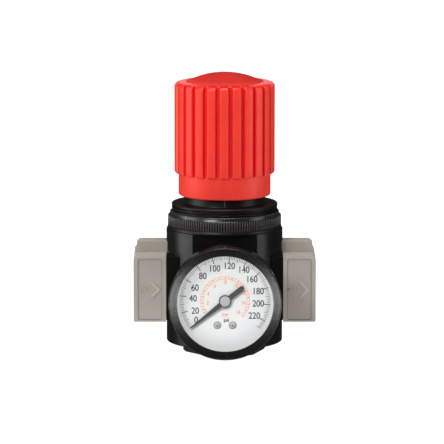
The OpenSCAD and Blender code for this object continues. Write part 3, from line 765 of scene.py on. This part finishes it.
def dial_number(words, size, x, y, squeeze=0.8, bolder=0.07):
    """Printed letters, made bolder by copies that lie a little apart."""
    copies = []
    for step, (right, up) in enumerate(((-1, 0), (1, 0), (0, -1), (0, 1))):
        high = DIAL_FACE + PRINT / 2 + step * 0.001
        shift = Matrix.Translation(((x + right * bolder) * MM, (y + up * bolder) * MM, high * MM))
        place = ON_GAUGE @ shift @ Matrix.Diagonal((squeeze, 1, 1, 1))
        copies.append(raised_letters(words, size, place, PRINT))
    return joined(copies)


PSI_NUMBERS = {0: (-13.4, -9.1), 20: (-13.8, -4.8), 40: (-14.8, 1.0), 60: (-13.9, 6.0), 80: (-10.3, 11.5),
               100: (-4.9, 15.0), 120: (1.9, 16.2), 140: (8.6, 14.4), 160: (12.3, 10.0), 180: (15.2, 4.4),
               200: (15.3, -1.4), 220: (13.5, -7.1)}
BAR_NUMBERS = {2: (-8.0, -1.0), 4: (-7.8, 3.2), 6: (-4.7, 6.9), 8: (0.2, 8.7), 10: (5.0, 7.1),
               12: (8.3, 3.7), 14: (8.4, -1.0), 16: (6.1, -5.4)}


def make_dial_print():
    marks = []
    for psi in range(0, PSI_END + 1, 2):
        inner, width = 19.3, 0.19
        if psi % 10 == 0:
            inner, width = 18.8, 0.24
        if psi % 20 == 0:
            inner, width = 18.0, 0.40
        marks.append(dial_bar(dial_direction(psi), inner, 21.0, width))
    for psi, (x, y) in PSI_NUMBERS.items():
        marks.append(dial_number(str(psi), 4.3, x, y, 0.84, 0.06))
    marks.append(dial_number("psi", 2.3, 0.6, -9.1, 1.0))
    # painted shade: a dark ring on the dial round each screw head and a dark dot on its centre give the
    # screws relief
    for x in (-SCREW_X, SCREW_X):
        marks += [prism(dial_circle(x, SCREW_Y, 1.8, 48), DIAL_FACE, DIAL_FACE + PRINT, ON_GAUGE),
                  prism(dial_circle(x, SCREW_Y, 0.32, 24), DIAL_FACE + 0.7, DIAL_FACE + 0.9, ON_GAUGE)]
    finished(joined(marks), "dial_marks", DARK_INK, "root", "pointer_dark")

    top_psi = 16 * PSI_PER_BAR
    inner_marks = [dial_arc(10.15, 0.22, 0, top_psi), dial_arc(11.3, 0.22, 0, top_psi)]
    for half in range(0, 33):
        wide = 0.50 if half % 2 == 0 else 0.28
        inner_marks.append(dial_bar(dial_direction(half / 2 * PSI_PER_BAR), 10.2, 11.25, wide))
    for bar, (x, y) in BAR_NUMBERS.items():
        inner_marks.append(dial_number(str(bar), 2.6, x, y))
    inner_marks.append(dial_number("bar", 2.3, 0.2, -6.4, 1.0))
    inner_marks.append(prism([(-1.8, -7.75), (2.0, -7.75), (2.0, -7.6), (-1.8, -7.6)], DIAL_FACE,
                             DIAL_FACE + PRINT, ON_GAUGE))
    finished(joined(inner_marks), "dial_inner_scale", ORANGE_INK, "root", "pointer_dark")


def make_gauge():
    case_back, case_front, case_r, inner_r = 41.2, 57.1, 25.4, 24.2
    case = arc(case_r - 2.4, case_back + 2.4, 2.4, -90, 0, 8)
    case += [(case_r, case_front), (inner_r, case_front)]
    case += arc(inner_r - 1.6, case_back + 2.6, 1.6, 0, -90, 6)
    case += [(5.25, case_back + 1), (5.25, case_back)]
    finished(turned(case, 192, ON_GAUGE), "gauge_cup", CASE_BLACK, "root", "black_plastic", "gauge_case")

    bezel_r, window_r, front, foot = 26.1, 22.2, 60.0, 53.0
    bezel = [(case_r + 0.02, foot), (bezel_r - 0.3, foot)]
    bezel += arc(bezel_r - 0.3, foot + 0.3, 0.3, -90, 0, 3)[1:]
    bezel += arc(bezel_r - 0.3, front - 0.3, 0.3, 0, 90, 5)
    bezel += [(bezel_r - 0.42, front - 0.03), (bezel_r - 0.55, front - 0.3), (bezel_r - 0.75, front - 0.36)]
    bezel += [(window_r + 1.2, front - 0.98), (window_r + 0.25, front - 1.05), (window_r, front - 1.2)]
    bezel += [(window_r, case_front + 1.6), (case_r + 0.02, case_front + 1.6)]
    finished(turned(bezel, 192, ON_GAUGE), "gauge_rim", BEZEL_BLACK, "root", "black_plastic", "gauge_bezel")


# ---- Carried-over nodes ----


def dress_nodes():
    slots = {s["node"]: s["material_slot"] for s in frame["record"]["subparts"]}
    for name, node in frame["nodes"].items():
        node.data.materials.clear()
        node.data.materials.append(MATERIALS[slots[name]])
    for name in ("pointer_hub", "dial_screws"):
        frame["nodes"][name].data.materials[0] = SATIN_NICKEL


def let_soft_parts_give():
    """Gives the springs and the diaphragm, each paired with a joint, their own copy of their mesh."""
    for node, joint in (("range_spring", "nut_travel"), ("valve_spring", "valve_lift"),
                        ("diaphragm", "valve_lift")):
        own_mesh(frame["nodes"][node])


# ---- Stage ----


def stage_collection(name, *members):
    group = bpy.data.collections.new(name)
    for member in members:
        group.objects.link(member)
    return group


def make_floor():
    """A white floor that the gloss of the object doesn't mirror, as on a lifted sheet of paper."""
    n = Nodes("floor_white")
    n.link(n.ramp(n.noise(3, 2), [(0.3, (0.86, 0.86, 0.86)), (0.7, (0.88, 0.88, 0.88))]),
           n.shader.inputs["Base Color"])
    n.set(Roughness=0.9, Specular_IOR_Level=0.2)
    mesh = bpy.data.meshes.new("floor")
    reach = 8
    mesh.from_pydata([(-reach, -reach, 0), (reach, -reach, 0), (reach, reach, 0), (-reach, reach, 0)], [],
                     [(0, 1, 2, 3)])
    mesh.materials.append(n.material)
    floor = bpy.data.objects.new("floor", mesh)
    bpy.context.collection.objects.link(floor)
    floor.visible_glossy = False
    return floor


def area_light(name, azimuth, elevation, distance, size, power):
    """A soft box that looks at the object; azimuth 0 is in front, and 90 on the right."""
    data = bpy.data.lights.new(name, "AREA")
    data.shape = "RECTANGLE"
    data.size, data.size_y = size
    data.energy = power
    light = bpy.data.objects.new(name, data)
    a, e = math.radians(azimuth), math.radians(elevation)
    middle = Vector((0, 0, 0.07))
    away = Vector((math.sin(a) * math.cos(e), -math.cos(a) * math.cos(e), math.sin(e)))
    light.location = middle + distance * away
    light.rotation_euler = (middle - light.location).to_track_quat("-Z", "Y").to_euler()
    bpy.context.collection.objects.link(light)
    return light


def make_lights(floor):
    world = bpy.data.worlds.new("studio")
    world.use_nodes = True
    world.node_tree.nodes["Background"].inputs["Color"].default_value = (1, 1, 1, 1)
    world.node_tree.nodes["Background"].inputs["Strength"].default_value = 0.05
    bpy.context.scene.world = world
    pieces = bpy.data.objects
    ring = pieces["gauge_rim"]
    not_floor = stage_collection("all_but_the_floor", floor)
    only_others = stage_collection("all_but_floor_and_ring", floor, ring)
    for group in (not_floor, only_others):
        for member in group.collection_objects:
            member.light_linking.link_state = "EXCLUDE"
    # each light: name, azimuth, elevation, distance, size, power
    front = area_light("front_box", -30, 30, 1.6, (0.6, 0.5), 12.2)
    front.light_linking.receiver_collection = only_others
    for name, azimuth, elevation, distance, size, power in (
            ("left_box", -82, 8, 1.1, (0.8, 0.8), 6.2), ("right_box", 74, 8, 1.1, (0.5, 0.8), 2.8),
            ("top_box", 0, 84, 1.0, (0.4, 0.35), 8.0)):
        box = area_light(name, azimuth, elevation, distance, size, power)
        box.light_linking.receiver_collection = not_floor

    wash = area_light("floor_wash", 180, 82, 2.4, (3.6, 3.6), 110)
    wash.rotation_euler = (0, 0, 0)
    wash.data.spread = math.radians(150)
    wash.light_linking.receiver_collection = stage_collection("lit_by_wash", floor)
    wash.light_linking.blocker_collection = stage_collection("in_the_wash", floor)

    face = [frame["nodes"]["dial"], frame["nodes"]["pointer"], frame["nodes"]["pointer_hub"],
            frame["nodes"]["dial_screws"], pieces["dial_marks"], pieces["dial_inner_scale"]]
    glare = area_light("rim_glare", 180, 11, 1.4, (1.2, 0.25), 2.2)
    glare.light_linking.receiver_collection = stage_collection("lit_rim", pieces["knob_shell"])

    dial_fill = area_light("dial_fill", -8, 36, 0.9, (0.5, 0.4), 5.8)
    dial_fill.light_linking.receiver_collection = stage_collection("lit_dial", *face)
    dial_fill.light_linking.blocker_collection = stage_collection("dial_shadows", *face[1:3])
    for side in (-1, 1):
        strip = area_light("ring_strip", side * 27, -16, 1.0, (0.3, 0.3), 2.3)
        strip.light_linking.receiver_collection = stage_collection("lit_ring", ring)
        strip.light_linking.blocker_collection = stage_collection("ring_shadows", ring)
    bpy.context.scene.view_settings.view_transform = "Standard"


# ---- Build ----

make_camera()
dress_nodes()
make_knob()
make_knob_cap()
make_bonnet()
make_panel_nut()
softened("body", 0.4, steps=3)
softened("bottom_plug", 0.35, steps=2)
make_port_plates()
make_gauge()
make_dial_print()
let_soft_parts_give()
make_lights(make_floor())
